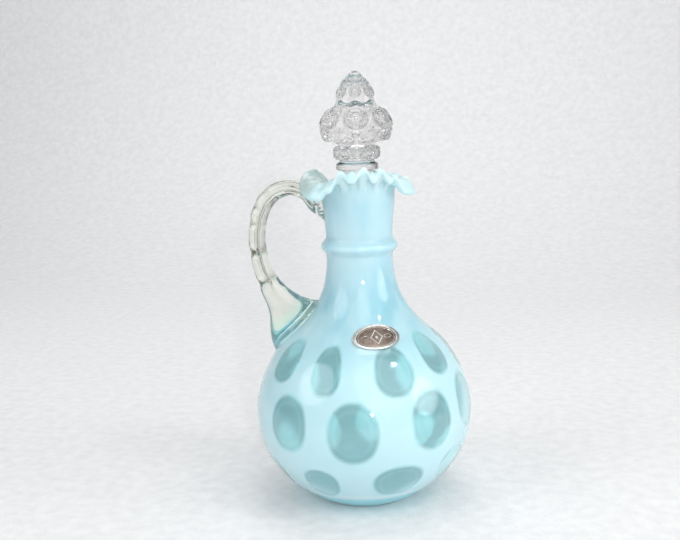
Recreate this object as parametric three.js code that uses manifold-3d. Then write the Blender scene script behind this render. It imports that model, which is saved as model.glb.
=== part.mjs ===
// Cruet: a blown glass bottle with a ruffled rim, a crimped handle, a pressed stopper and a foil label.
// Millimetres, +Z up. The origin is the centre of the base. The handle points towards -X and the
// pouring lip towards +X. Angles go round the axis from +X towards +Y, and -Y is the front.
import * as THREE from "three";
import Module from "manifold-3d";

const wasm = await Module();
wasm.setup();

// Gap that glued or resting faces keep
const seatGap = 0.3;

// Bulb of the bottle: a flat base, a round belly and a hollow shoulder
const baseRadius = 21;
const baseTurnOut = 12.6;
const baseTurnUp = 6.8;
const bellyRadius = 48.5;
const bellyHeight = 40.2;
const bellyRoundBelow = 22.4;
const bellyRoundAbove = 12.8;
const shoulderRadius = 33.9;
const shoulderRise = 32.5;
const shoulderSlope = 39.4;
const shoulderRoundBelow = 7.8;
const shoulderRoundAbove = 16.5;
const bottleWall = 3.4;
const floorThickness = 4.5;

// Neck, with one moulded ring and a throat that widens to the collar under the rim
const neckRadius = 14.8;
const neckRise = 37;
const neckStraight = 17.7;
const neckRingProud = 2.3;
const neckRingHalfHeight = 4.2;
const throatRise = 19;
const collarRadius = 16.3;

// Ground seat for the stopper, widest at its top, which opens into the mouth
const seatRadius = 10.4;
const seatTaper = 0.058;
const seatLength = 19;
const seatBelowCollar = 4.6;
const mouthChamfer = 0.8;
const mouthFlare = 2;

// Ruffled rim: each row is a point of its edge, by angle, how far it stands out from the collar and how
// far up, and how much it rolls over. Petals roll out and down, and the crests between them stand up.
// The widest petals are the round lobe over the handle, from 142 to 258, and the lip, from 327 to 24.
// The hold is how much longer the edge stays near its tops and bottoms than on a plain curve.
const rimThickness = 3;
const ruffleHold = 0.8;
const standingRim = { lean: 62, rise: 3, outerPull: 3, innerPull: 4.5 };
const rolledRim = { lean: -70, rise: 5.6, outerPull: 8, innerPull: 10.5 };
const ruffleEdge = [
  { angle: 8, out: 7.9, up: -0.4, roll: 1 },
  { angle: 24, out: 5.2, up: 5, roll: 0.3 },
  { angle: 40, out: 6.8, up: 2.6, roll: 0.9 },
  { angle: 55, out: 4.4, up: 6.2, roll: 0.15 },
  { angle: 70, out: 6, up: 3.6, roll: 0.85 },
  { angle: 84, out: 4.2, up: 6.6, roll: 0.1 },
  { angle: 98, out: 6, up: 3.6, roll: 0.85 },
  { angle: 112, out: 4.2, up: 6, roll: 0.1 },
  { angle: 126, out: 5.6, up: 2.4, roll: 0.7 },
  { angle: 142, out: 3.8, up: 2.6, roll: 0.4 },
  { angle: 156, out: 3.6, up: 6.8, roll: 0.15 },
  { angle: 171, out: 4.4, up: 9, roll: 0.1 },
  { angle: 186, out: 6.6, up: 7.4, roll: 0.4 },
  { angle: 200, out: 8, up: 4.4, roll: 0.8 },
  { angle: 214, out: 8.8, up: 1.4, roll: 1 },
  { angle: 226, out: 8.7, up: -0.2, roll: 1 },
  { angle: 236, out: 7.6, up: -0.5, roll: 1 },
  { angle: 242, out: 6.2, up: 2.2, roll: 0.9 },
  { angle: 248, out: 5.8, up: 3.2, roll: 0.9 },
  { angle: 258, out: 3.4, up: 9.5, roll: 0 },
  { angle: 273, out: 5.6, up: 7, roll: 0.9 },
  { angle: 288, out: 3.4, up: 10.8, roll: 0 },
  { angle: 298, out: 5.4, up: 6.8, roll: 0.85 },
  { angle: 309, out: 3.6, up: 10.2, roll: 0 },
  { angle: 318, out: 5.6, up: 6, roll: 0.85 },
  { angle: 327, out: 4.4, up: 7.2, roll: 0.2 },
  { angle: 337, out: 6.6, up: 1.4, roll: 0.95 },
  { angle: 352, out: 7.4, up: 0.2, roll: 1 },
];

// Handle: sections of its rod from inside the neck over the top of the bow, and from the side of the
// bow down into the shoulder. Each row is a section's centre, its thickness and its width across.
const handleFromCollar = [
  { out: -8, up: -13, thick: 8, wide: 9 },
  { out: -2.5, up: -7.5, thick: 9.6, wide: 11.5 },
  { out: 2, up: -4.6, thick: 9.4, wide: 10.4 },
  { out: 6.8, up: 0.4, thick: 8.2, wide: 9 },
  { out: 14, up: 2.8, thick: 8, wide: 8.6 },
  { out: 22, up: -0.2, thick: 8, wide: 8.6 },
  { out: 28.1, up: -7.7, thick: 8, wide: 8.6 },
];
const handleFromShoulder = [
  { out: 13.1, up: 45.8, thick: 8.1, wide: 8.6 },
  { out: 11.7, up: 33.8, thick: 8.6, wide: 8.8 },
  { out: 7.7, up: 23.3, thick: 10.5, wide: 9.6 },
  { out: 1.8, up: 14.2, thick: 16, wide: 11.5 },
  { out: -4, up: 5.9, thick: 30, wide: 14 },
  { out: -12.2, up: 0.2, thick: 36, wide: 15 },
];
const crimpPlaces = [0.43, 0.49, 0.595, 0.69];
const crimpDepth = 1.8;
const crimpSpread = 0.017;

// Stopper: a ground plug on a shank, a flange, a ring of beads, a lobed band and a pointed tip
const shankRadius = 8;
const shankLength = 15;
const flangeRadius = 9.3;
const flangeThickness = 3.2;
const waistRadius = 7.7;
const beadRingRadius = 9.5;
const beadRingRise = 4;
const beadRadius = 2.35;
const beadProud = 1.1;
const beadCount = 12;
const bandRadius = 14;
const bandHalfHeight = 9.2;
const bandRise = 11.8;
const bandFullness = 0.8;
const bandTurns = [-60, -42, -22, 0, 18, 34, 50];
const eyeCount = 7;
const firstEye = 280;
const bandEyeRadius = 5;
const bandEyeProud = 1.1;
const bandEyeSunk = 0.6;
const bandEyeRise = 2.8;
const bandEyeTilt = 28;
const ovalHalfWidth = 4.2;
const ovalHalfHeight = 3.2;
const ovalProud = 0.9;
const ovalTilt = -25;
const ovalDrop = 4;
const tipRadius = 8.3;
const tipRise = 10.2;
const tipLength = 13.1;
const tipStraight = 3.8;
const tipShoulderRadius = 4.6;
const tipShoulderDrop = 1.8;
const tipEyeRadius = 2.6;
const tipEyeProud = 0.9;
const tipEyeRise = 4.1;
const tipEyeTilt = 20;
const stopperFillet = 0.8;

// Foil label on the shoulder
const labelAngle = 292.4;
const labelHeight = 77.8;
const labelLength = 20.5;
const labelWidth = 12.5;
const labelTilt = 3;
const foilThickness = 0.35;

// How finely the surfaces are cut into facets
const bottleSides = 48;
const rimSides = 144;
const handleSides = 16;
const handleSteps = 64;
const stopperSides = 24;
const eyeSides = 12;
const beadSides = 8;
const labelSides = 24;

// Heights that follow from the sizes above
const shoulderHeight = bellyHeight + shoulderRise;
const neckHeight = shoulderHeight + neckRise;
const ringHeight = neckHeight + neckRingHalfHeight;
const collarHeight = ringHeight + neckRingHalfHeight + throatRise;
const seatTop = collarHeight - seatBelowCollar;

const radians = THREE.MathUtils.degToRad;

function atAngle(radius, height, angle) {
  return new THREE.Vector3(radius * Math.cos(angle), radius * Math.sin(angle), height);
}

// One ring of points round the axis
function ring(sides, place) {
  const points = [];
  for (let side = 0; side < sides; side += 1) {
    const angle = (2 * Math.PI * side) / sides;
    const [radius, height] = place(angle);
    points.push(atAngle(radius, height, angle));
  }
  return points;
}

// Round rings for an outline of points (radius, height), or one point where it meets the axis
function roundRings(outline, sides) {
  return outline.map(([radius, height]) => (
    radius === 0 ? [new THREE.Vector3(0, 0, height)] : ring(sides, () => [radius, height])
  ));
}

// Triangles between two rings, which may have different numbers of points
function joinRings(triangles, low, lowCount, high, highCount) {
  let i = 0;
  let j = 0;
  while (i < lowCount || j < highCount) {
    const lowIsNext = j === highCount || (i < lowCount && (i + 1) * highCount <= (j + 1) * lowCount);
    const a = low + (i % lowCount);
    const b = high + (j % highCount);
    if (lowIsNext) {
      i += 1;
      if (lowCount > 1) triangles.push(a, low + (i % lowCount), b);
    } else {
      j += 1;
      if (highCount > 1) triangles.push(a, high + (j % highCount), b);
    }
  }
}

// A closed skin over a stack of rings that starts and ends with a single point
function skin(rings) {
  const triangles = [];
  let start = 0;
  for (let row = 0; row + 1 < rings.length; row += 1) {
    const next = start + rings[row].length;
    joinRings(triangles, start, rings[row].length, next, rings[row + 1].length);
    start = next;
  }
  const positions = rings.flat().flatMap((point) => point.toArray());
  const geometry = new THREE.BufferGeometry();
  geometry.setAttribute("position", new THREE.Float32BufferAttribute(positions, 3));
  geometry.setIndex(triangles);
  geometry.computeVertexNormals();
  return geometry;
}

function toSolid(geometry) {
  return new wasm.Manifold(new wasm.Mesh({
    numProp: 3,
    vertProperties: new Float32Array(geometry.getAttribute("position").array),
    triVerts: new Uint32Array(geometry.getIndex().array),
  }));
}

function fromSolid(solid) {
  const mesh = solid.getMesh();
  const geometry = new THREE.BufferGeometry();
  geometry.setAttribute("position", new THREE.BufferAttribute(mesh.vertProperties, 3));
  geometry.setIndex(new THREE.BufferAttribute(mesh.triVerts, 1));
  geometry.computeVertexNormals();
  return geometry;
}

// A cubic curve in the (radius, height) plane
function bend(start, pullOut, pullIn, end) {
  return new THREE.CubicBezierCurve(...[start, pullOut, pullIn, end].map((p) => new THREE.Vector2(...p)));
}

function bendPoints(start, pullOut, pullIn, end, steps) {
  return bend(start, pullOut, pullIn, end).getPoints(steps).map((point) => point.toArray());
}

// The same outline moved sideways by a distance, to its right as it runs
function shiftOutline(outline, distance) {
  return outline.map(([radius, height], index) => {
    const before = outline[Math.max(index - 1, 0)];
    const after = outline[Math.min(index + 1, outline.length - 1)];
    const along = new THREE.Vector2(after[0] - before[0], after[1] - before[1]).normalize();
    return [radius + along.y * distance, height - along.x * distance];
  });
}

// Outline of the outside from the edge of the base to the start of the neck ring
function bulbOutline() {
  const slope = radians(shoulderSlope);
  const under = [
    shoulderRadius + Math.cos(slope) * shoulderRoundBelow,
    shoulderHeight - Math.sin(slope) * shoulderRoundBelow,
  ];
  const over = [
    shoulderRadius - Math.cos(slope) * shoulderRoundAbove,
    shoulderHeight + Math.sin(slope) * shoulderRoundAbove,
  ];
  const belly = [bellyRadius, bellyHeight];
  const shoulder = [shoulderRadius, shoulderHeight];
  const lower = bendPoints(
    [baseRadius, 0],
    [baseRadius + baseTurnOut, baseTurnUp],
    [bellyRadius, bellyHeight - bellyRoundBelow],
    belly,
    7,
  );
  const upper = bendPoints(belly, [bellyRadius, bellyHeight + bellyRoundAbove], under, shoulder, 6);
  const hollow = bendPoints(
    shoulder,
    over,
    [neckRadius, neckHeight - neckStraight],
    [neckRadius, neckHeight],
    7,
  );
  return [...lower, ...upper.slice(1), ...hollow.slice(1)];
}

// Outline of the neck ring, a smooth swelling, and of the throat above it
function neckOutline() {
  const steps = 6;
  const outline = [];
  for (let step = 1; step <= steps; step += 1) {
    const along = (2 * step) / steps - 1;
    const swelling = (neckRingProud * (1 + Math.cos(Math.PI * along))) / 2;
    outline.push([neckRadius + swelling, ringHeight + along * neckRingHalfHeight]);
  }
  const start = ringHeight + neckRingHalfHeight;
  const throat = bendPoints(
    [neckRadius, start],
    [neckRadius, start + throatRise / 3],
    [collarRadius, collarHeight - throatRise / 3],
    [collarRadius, collarHeight],
    4,
  );
  return [...outline, ...throat.slice(1)];
}

// Degrees from one angle round to the next
function turnBetween(from, to) {
  return THREE.MathUtils.euclideanModulo(to - from, 360);
}

// How steeply a value of the ruffle changes at one of its rows, level at a top or a bottom
function slopeAt(before, here, after, key) {
  const behind = (here[key] - before[key]) / turnBetween(before.angle, here.angle);
  const ahead = (after[key] - here[key]) / turnBetween(here.angle, after.angle);
  return behind * ahead > 0 ? (2 * behind * ahead) / (behind + ahead) : 0;
}

// The ruffle's edge at an angle, on a smooth curve through the rows of its list
function ruffleAt(angle) {
  const turn = THREE.MathUtils.radToDeg(angle);
  const found = ruffleEdge.findIndex((row) => row.angle > turn);
  const after = found < 0 ? ruffleEdge.length : found;
  const [a, b, c, d] = [-2, -1, 0, 1].map((step) => ruffleEdge.at((after + step) % ruffleEdge.length));
  const span = turnBetween(b.angle, c.angle);
  const t = turnBetween(b.angle, turn) / span;
  const through = (key) => {
    const start = slopeAt(a, b, c, key) * span;
    const end = slopeAt(b, c, d, key) * span;
    const rise = c[key] - b[key];
    const hold = start === 0 && end === 0 ? ruffleHold : 0;
    const s = THREE.MathUtils.lerp(t, THREE.MathUtils.smoothstep(t, 0, 1), hold);
    return b[key] + start * s + (3 * rise - 2 * start - end) * s ** 2 + (start + end - 2 * rise) * s ** 3;
  };
  return {
    radius: collarRadius + through("out"),
    height: collarHeight + through("up"),
    roll: through("roll"),
  };
}

// The rim's section at an angle, as three curves: up the outside, round the lip, down the inside.
// Grown, it is thicker by that much all round.
function rimSection(angle, growth) {
  const edge = ruffleAt(angle);
  const rolled = (key) => THREE.MathUtils.lerp(standingRim[key], rolledRim[key], edge.roll);
  const lean = radians(rolled("lean"));
  const along = [Math.cos(lean), Math.sin(lean)];
  const half = rimThickness / 2 + growth;
  const outer = [edge.radius + along[1] * half, edge.height - along[0] * half];
  const inner = [edge.radius - along[1] * half, edge.height + along[0] * half];
  const start = collarHeight + rolled("rise");
  const mouthRadius = seatRadius + mouthChamfer;
  const mouthHeight = seatTop + mouthChamfer;
  return {
    outside: bend(
      [collarRadius + growth, collarHeight],
      [collarRadius + growth, start],
      [outer[0] - along[0] * rolled("outerPull"), outer[1] - along[1] * rolled("outerPull")],
      outer,
    ),
    lip: new THREE.EllipseCurve(
      edge.radius,
      edge.height,
      half,
      half,
      lean - Math.PI / 2,
      lean + Math.PI / 2,
    ),
    inside: bend(
      inner,
      [inner[0] - along[0] * rolled("innerPull"), inner[1] - along[1] * rolled("innerPull")],
      [mouthRadius + mouthFlare, start],
      [mouthRadius, mouthHeight],
    ),
  };
}

// Rings over the rim, each at a share of one of its section's three curves
const outsideShares = [0.3, 0.55, 0.78, 1];
const lipShares = [0.33, 0.67, 1];
const insideShares = [0.18, 0.38, 0.6, 0.8];
function rimRings(part, shares, growth) {
  return shares.map((share) => (
    ring(rimSides, (angle) => rimSection(angle, growth)[part].getPoint(share).toArray())
  ));
}

// The bottle: its outside, rim, ground seat and inside are one wall
function bottleGeometry() {
  const bulb = bulbOutline();
  const seatBottom = seatTop - seatLength;
  const seat = [
    [seatRadius + mouthChamfer, seatTop + mouthChamfer],
    [seatRadius, seatTop],
    [seatRadius - seatTaper * seatLength, seatBottom],
    [neckRadius - bottleWall, seatBottom - bottleWall],
  ];
  const inside = shiftOutline(bulb, -bottleWall).reverse().filter(([, height], index) => (
    index % 2 === 0 && height > floorThickness && height < neckHeight - bottleWall
  ));
  const floorRadius = inside.at(-1)[0] - bottleWall;
  return skin([
    ...roundRings([[0, 0], ...bulb, ...neckOutline()], bottleSides),
    ...rimRings("outside", outsideShares, 0),
    ...rimRings("lip", lipShares, 0),
    ...rimRings("inside", insideShares, 0),
    ...roundRings([...seat, ...inside, [floorRadius, floorThickness], [0, floorThickness]], bottleSides),
  ]);
}

// The space that the bottle fills, with the seat gap all round, to cut what is pressed onto it
function bottleClearance() {
  const outline = shiftOutline([...bulbOutline(), ...neckOutline()], seatGap);
  const highest = Math.max(...ruffleEdge.map((row) => row.up));
  return toSolid(skin([
    ...roundRings([[0, -seatGap], ...outline], bottleSides),
    ...rimRings("outside", outsideShares, seatGap),
    ...rimRings("lip", lipShares, seatGap),
    [new THREE.Vector3(0, 0, collarHeight + highest)],
  ]));
}

// The handle: a rod of soft glass, pinched along its outer side, with its ends pressed onto the bottle
function handleGeometry() {
  const stations = [
    ...handleFromCollar.map((row) => ({ ...row, out: collarRadius + row.out, up: collarHeight + row.up })),
    ...handleFromShoulder.map((row) => (
      { ...row, out: shoulderRadius + row.out, up: shoulderHeight + row.up }
    )),
  ];
  const through = (place) => new THREE.CatmullRomCurve3(stations.map(place), false, "catmullrom");
  const centreLine = through((row) => new THREE.Vector3(-row.out, 0, row.up));
  const sizes = through((row) => new THREE.Vector3(row.thick / 2, row.wide / 2, 0));
  const across = new THREE.Vector3(0, 1, 0);
  const rings = [];
  for (let step = 0; step <= handleSteps; step += 1) {
    const share = step / handleSteps;
    const centre = centreLine.getPoint(share);
    const outward = across.clone().cross(centreLine.getTangent(share));
    const size = sizes.getPoint(share);
    const pinches = crimpPlaces.map((place) => Math.exp(-(((share - place) / crimpSpread) ** 2)));
    const pinch = crimpDepth * Math.max(...pinches);
    const points = [];
    for (let side = 0; side < handleSides; side += 1) {
      const angle = (2 * Math.PI * side) / handleSides;
      const facing = (1 + Math.cos(angle)) / 2;
      const outwards = size.x * Math.cos(angle) - pinch * facing ** 2;
      points.push(centre.clone()
        .addScaledVector(outward, outwards)
        .addScaledVector(across, size.y * Math.sin(angle)));
    }
    rings.push(points);
  }
  const rod = toSolid(skin([[centreLine.getPoint(0)], ...rings, [centreLine.getPoint(1)]]));
  return fromSolid(rod.subtract(bottleClearance()));
}

// A bull's-eye: a round button with a raised ring and a hub in its dish, sunk into what it stands on
function bullsEye(radius, proud) {
  return toSolid(skin(roundRings([
    [0, -2 * proud],
    [radius * 1.05, -2 * proud],
    [radius, 0],
    [radius * 0.9, proud * 0.85],
    [radius * 0.75, proud],
    [radius * 0.6, proud * 0.4],
    [radius * 0.3, proud * 0.35],
    [0, proud * 0.75],
  ], eyeSides)));
}

// A low round button, also sunk into what it stands on
function button(radius, proud) {
  return toSolid(skin(roundRings([
    [0, -2 * proud],
    [radius, -2 * proud],
    [radius, 0],
    [radius * 0.7, proud * 0.8],
    [0, proud],
  ], beadSides)));
}

// Copies of a solid in a ring round the axis, each facing outwards and tilted up
function ringOf(solid, count, firstTurn, radius, height, tilt, widen = 1) {
  const copies = [];
  for (let copy = 0; copy < count; copy += 1) {
    const angle = radians(firstTurn) + (2 * Math.PI * copy) / count;
    const matrix = new THREE.Matrix4().setPosition(atAngle(radius, height, angle));
    matrix.multiply(new THREE.Matrix4().makeRotationZ(angle));
    matrix.multiply(new THREE.Matrix4().makeRotationY(Math.PI / 2 - radians(tilt)));
    matrix.multiply(new THREE.Matrix4().makeScale(1, widen, 1));
    copies.push(solid.transform(matrix.elements));
  }
  return copies;
}

// Radius of a rising outline at a height
function radiusAt(outline, height) {
  const above = outline.findIndex((point) => point[1] > height);
  const [low, high] = [outline[above - 1], outline[above]];
  return THREE.MathUtils.mapLinear(height, low[1], high[1], low[0], high[0]);
}

// The stopper, with its origin on the axis at the top of the bottle's ground seat
function stopperGeometry() {
  const plugLength = seatLength + seatGap;
  const plugRadius = (depth) => seatRadius - seatGap - seatTaper * depth;
  const flangeTop = shankLength + flangeThickness;
  const beadHeight = flangeTop + beadRingRise;
  const bandHeight = beadHeight + bandRise;
  const tipHeight = bandHeight + tipRise;
  const band = bandTurns.map((turn) => [
    bandRadius * Math.cos(radians(turn)) ** bandFullness,
    bandHeight + bandHalfHeight * Math.sin(radians(Math.abs(turn))) ** bandFullness * Math.sign(turn),
  ]);
  const [bandTopRadius, bandTopHeight] = band.at(-1);
  const tip = bendPoints(
    [tipRadius, tipHeight],
    [tipRadius, tipHeight + tipStraight],
    [tipShoulderRadius, tipHeight + tipLength - tipShoulderDrop],
    [stopperFillet, tipHeight + tipLength],
    7,
  );
  const tipEyeHeight = tipHeight + tipEyeRise;
  const core = toSolid(skin(roundRings([
    [0, -plugLength],
    [plugRadius(plugLength) - stopperFillet, -plugLength],
    [plugRadius(plugLength - stopperFillet), -plugLength + stopperFillet],
    [plugRadius(0), 0],
    [plugRadius(0) - stopperFillet, 2 * stopperFillet],
    [shankRadius, shankLength / 2],
    [shankRadius, shankLength - stopperFillet],
    [flangeRadius, shankLength],
    [flangeRadius, flangeTop - stopperFillet],
    [waistRadius, flangeTop],
    [waistRadius, flangeTop + 2 * stopperFillet],
    [beadRingRadius, beadHeight - stopperFillet],
    [beadRingRadius, beadHeight + stopperFillet],
    [waistRadius - stopperFillet, (beadHeight + band[0][1]) / 2],
    ...band,
    [(2 * tipRadius + bandTopRadius) / 3, (tipHeight + bandTopHeight) / 2],
    ...tip,
    [0, tipHeight + tipLength + stopperFillet / 4],
  ], stopperSides)));
  const halfStep = 180 / eyeCount;
  const ornaments = [
    ...ringOf(button(beadRadius, beadProud), beadCount, firstEye, beadRingRadius, beadHeight, 0),
    ...ringOf(
      bullsEye(bandEyeRadius, bandEyeProud),
      eyeCount,
      firstEye,
      bandRadius - bandEyeSunk,
      bandHeight + bandEyeRise,
      bandEyeTilt,
    ),
    ...ringOf(
      button(ovalHalfHeight, ovalProud),
      eyeCount,
      firstEye + halfStep,
      bandRadius,
      bandHeight - ovalDrop,
      ovalTilt,
      ovalHalfWidth / ovalHalfHeight,
    ),
    ...ringOf(
      bullsEye(tipEyeRadius, tipEyeProud),
      eyeCount,
      firstEye,
      radiusAt(tip, tipEyeHeight),
      tipEyeHeight,
      tipEyeTilt,
    ),
  ];
  return fromSolid(ornaments.reduce((joined, ornament) => joined.add(ornament), core));
}

// Point of the bottle's outside at a distance up the meridian from a height, and a gap off it
function onShoulder(outline, fromHeight, distance, gap) {
  let rest = distance;
  let index = outline.findIndex(([, height]) => height > fromHeight) - 1;
  const between = (a, b, share) => [a[0] + (b[0] - a[0]) * share, a[1] + (b[1] - a[1]) * share];
  const span = outline[index + 1][1] - outline[index][1];
  rest += lengthOf(outline, index) * ((fromHeight - outline[index][1]) / span);
  while (rest < 0) {
    index -= 1;
    rest += lengthOf(outline, index);
  }
  while (rest > lengthOf(outline, index)) {
    rest -= lengthOf(outline, index);
    index += 1;
  }
  return between(
    shiftOutline(outline, gap)[index],
    shiftOutline(outline, gap)[index + 1],
    rest / lengthOf(outline, index),
  );
}

function lengthOf(outline, index) {
  return Math.hypot(outline[index + 1][0] - outline[index][0], outline[index + 1][1] - outline[index][1]);
}

// The foil: an oval that follows the shoulder, with its back the seat gap off the glass
function labelGeometry() {
  const outline = bulbOutline();
  const tilt = radians(labelTilt);
  const centreRadius = onShoulder(outline, labelHeight, 0, 0)[0];
  const place = (share, angle, gap) => {
    const along = (labelLength / 2) * share * Math.cos(angle);
    const up = (labelWidth / 2) * share * Math.sin(angle);
    const level = along * Math.cos(tilt) - up * Math.sin(tilt);
    const rise = along * Math.sin(tilt) + up * Math.cos(tilt);
    const [radius, height] = onShoulder(outline, labelHeight, rise, gap);
    return atAngle(radius, height, radians(labelAngle) + level / centreRadius);
  };
  const oval = (share, gap) => {
    const points = [];
    for (let side = 0; side < labelSides; side += 1) {
      points.push(place(share, (-2 * Math.PI * side) / labelSides, gap));
    }
    return points;
  };
  const face = seatGap + foilThickness;
  return skin([
    [place(0, 0, face)],
    oval(0.4, face),
    oval(0.75, face),
    oval(1, face),
    oval(1, seatGap),
    oval(0.75, seatGap),
    oval(0.4, seatGap),
    [place(0, 0, seatGap)],
  ]);
}

function piece(name, geometry, colour, roughness, metalness) {
  const material = new THREE.MeshStandardMaterial({ color: colour, roughness, metalness });
  const mesh = new THREE.Mesh(geometry, material);
  mesh.name = name;
  return mesh;
}

const stopper = piece("stopper", stopperGeometry(), 0xe6e8ea, 0.06, 0);
stopper.position.z = seatTop;

const cruet = new THREE.Group();
cruet.add(piece("cruet_body", bottleGeometry(), 0xb4e6ee, 0.08, 0));
cruet.add(piece("applied_handle", handleGeometry(), 0xe2e8dc, 0.06, 0));
cruet.add(stopper);
cruet.add(piece("foil_label", labelGeometry(), 0x8a7366, 0.3, 0.9));

export default cruet;
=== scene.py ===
import math

import bmesh
import bpy
import numpy as np
from mathutils import Matrix, Vector


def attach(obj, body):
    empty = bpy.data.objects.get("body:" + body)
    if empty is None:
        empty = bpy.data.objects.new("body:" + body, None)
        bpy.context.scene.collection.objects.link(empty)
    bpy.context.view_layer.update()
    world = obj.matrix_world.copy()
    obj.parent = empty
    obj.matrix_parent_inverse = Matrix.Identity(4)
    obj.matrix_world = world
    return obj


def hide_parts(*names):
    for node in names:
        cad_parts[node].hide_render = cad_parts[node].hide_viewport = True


MM = 0.001
SHARP_EDGE = math.radians(38)
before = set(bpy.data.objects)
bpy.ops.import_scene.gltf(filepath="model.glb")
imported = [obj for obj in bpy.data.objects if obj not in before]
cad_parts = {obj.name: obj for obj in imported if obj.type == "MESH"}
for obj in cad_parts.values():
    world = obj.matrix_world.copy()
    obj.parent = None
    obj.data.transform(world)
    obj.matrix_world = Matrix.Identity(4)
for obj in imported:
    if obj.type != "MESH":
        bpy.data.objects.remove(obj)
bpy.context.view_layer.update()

# Bulb of the bottle. The turn (out, up) and the rounds are how far its curves are pulled at their ends.
BASE_RADIUS = 21
BASE_EDGE = 0.6
BASE_TURN = (12.6, 6.8)
BELLY_RADIUS = 48.5
BELLY_HEIGHT = 40.2
BELLY_ROUND_BELOW = 22.4
BELLY_ROUND_ABOVE = 12.8
SHOULDER_RADIUS = 33.9
SHOULDER_HEIGHT = BELLY_HEIGHT + 32.5
SHOULDER_SLOPE = math.radians(39.4)
SHOULDER_ROUND_BELOW = 7.8
SHOULDER_ROUND_ABOVE = 16.5
BOTTLE_WALL = 3.4
FLOOR_THICKNESS = 4.5

# Neck, its ring, and the throat under the rim
NECK_RADIUS = 14.8
NECK_HEIGHT = SHOULDER_HEIGHT + 37
NECK_STRAIGHT = 17.7
NECK_RING_PROUD = 2.3
NECK_RING_HALF_HEIGHT = 4.2
THROAT_RISE = 19
COLLAR_RADIUS = 16.3
COLLAR_HEIGHT = NECK_HEIGHT + 2 * NECK_RING_HALF_HEIGHT + THROAT_RISE

# Ground seat of the stopper and the mouth above it
SEAT_RADIUS = 10.4
SEAT_TAPER = 0.058
SEAT_LENGTH = 19
SEAT_TOP = COLLAR_HEIGHT - 4.6
SEAT_GAP = 0.3
MOUTH_CHAMFER = 0.8
MOUTH_FLARE = 2

# Rim: petals roll out and down, and crests stand up between them. Each row is (angle, out from the
# collar, up from it, roll), with a roll of 0 for a standing crest and 1 for a rolled petal. The lean is
# the slope of the glass at its edge, in degrees, and the rise and the pulls shape the curves up to it.
# The hold is how much longer the edge stays near its tops and bottoms than on a plain curve. The widest
# petals are the lip and the round lobe over the handle, which is thinner glass with creases inside.
RIM_THICKNESS = 3
RUFFLE_HOLD = 0.8
STANDING_RIM = {"lean": 62, "rise": 3, "outer_pull": 3, "inner_pull": 4.5}
ROLLED_RIM = {"lean": -70, "rise": 5.6, "outer_pull": 8, "inner_pull": 10.5}
RUFFLE_EDGE = [
    (8, 7.9, -0.4, 1), (24, 5.2, 5, 0.3), (40, 6.8, 2.6, 0.9), (55, 4.4, 6.2, 0.15),
    (70, 6, 3.6, 0.85), (84, 4.2, 6.6, 0.1), (98, 6, 3.6, 0.85), (112, 4.2, 6, 0.1),
    (126, 5.6, 2.4, 0.7), (142, 3.8, 2.6, 0.4), (156, 3.6, 6.8, 0.15), (171, 4.4, 9, 0.1),
    (186, 6.6, 7.4, 0.4), (200, 8, 4.4, 0.8), (214, 8.8, 1.4, 1), (226, 8.7, -0.2, 1),
    (236, 7.6, -0.5, 1), (242, 6.2, 2.2, 0.9), (248, 5.8, 3.2, 0.9), (258, 3.4, 9.5, 0),
    (273, 5.6, 7, 0.9), (288, 3.4, 10.8, 0), (298, 5.4, 6.8, 0.85), (309, 3.6, 10.2, 0),
    (318, 5.6, 6, 0.85), (327, 4.4, 7.2, 0.2), (337, 6.6, 1.4, 0.95), (352, 7.4, 0.2, 1),
]
LOBE_CREASES = np.array([160, 172, 185, 199, 212, 224, 235])
LOBE_CREASE_SPREAD = 2.6
LOBE_CREASE_DEPTH = 0.8
LOBE_BEGINS = (146, 166)
LOBE_ENDS = (220, 238)
LOBE_HEIGHTS = (COLLAR_HEIGHT - 1, COLLAR_HEIGHT + 3)

# Clear dots of the bulb: rows of (angle, height, width in degrees, height across). The squareness is 2
# for an oval, and the ring is a faint paler line inside the dot.
DOTS = [
    (237.2, 43.5, 24, 24), (273.9, 42, 26, 25.5), (316.8, 44.4, 25, 25), (349.6, 46.9, 24, 24),
    (27, 43, 25, 25), (65, 45, 26, 24), (104, 42, 25, 25), (143, 44, 26, 25), (190, 43, 27, 25),
    (223.4, 67.3, 23, 17), (257.3, 66, 19, 19), (298.8, 65.4, 25, 19), (333.4, 69.4, 23, 17),
    (8, 67, 22, 18), (46, 66, 23, 18), (85, 68, 22, 17), (123, 66, 23, 18), (160, 67, 21, 17),
    (253.3, 17.4, 22, 15), (298.8, 18.4, 30, 16), (337.2, 21.3, 24, 16), (16, 19, 26, 16),
    (54, 18, 25, 16), (93, 19, 27, 16), (132, 18, 25, 16), (172, 19, 26, 16), (213, 18, 25, 16),
]
DOT_SQUARENESS = 2.2
DOT_SOFTNESS = 0.1
DOT_RING = 0.07
DOT_RING_PLACE = 0.74
DOT_RING_SPREAD = 0.06

# Rows and columns of the bottle's mesh. The outside ends halfway round the edge of the rim, and the
# inside of the bulb has only every second row.
BELOW_BELLY_STEPS = 52
ABOVE_BELLY_STEPS = 40
HOLLOW_STEPS = 36
NECK_RING_STEPS = 20
THROAT_STEPS = 12
RIM_OUTSIDE_STEPS = 18
RIM_EDGE_STEPS = 8
RIM_INSIDE_STEPS = 20
RIM_OUTSIDE_ROWS = RIM_OUTSIDE_STEPS + RIM_EDGE_STEPS // 2
INSIDE_ROW_STEP = 2
BOTTLE_SIDES = 360

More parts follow.
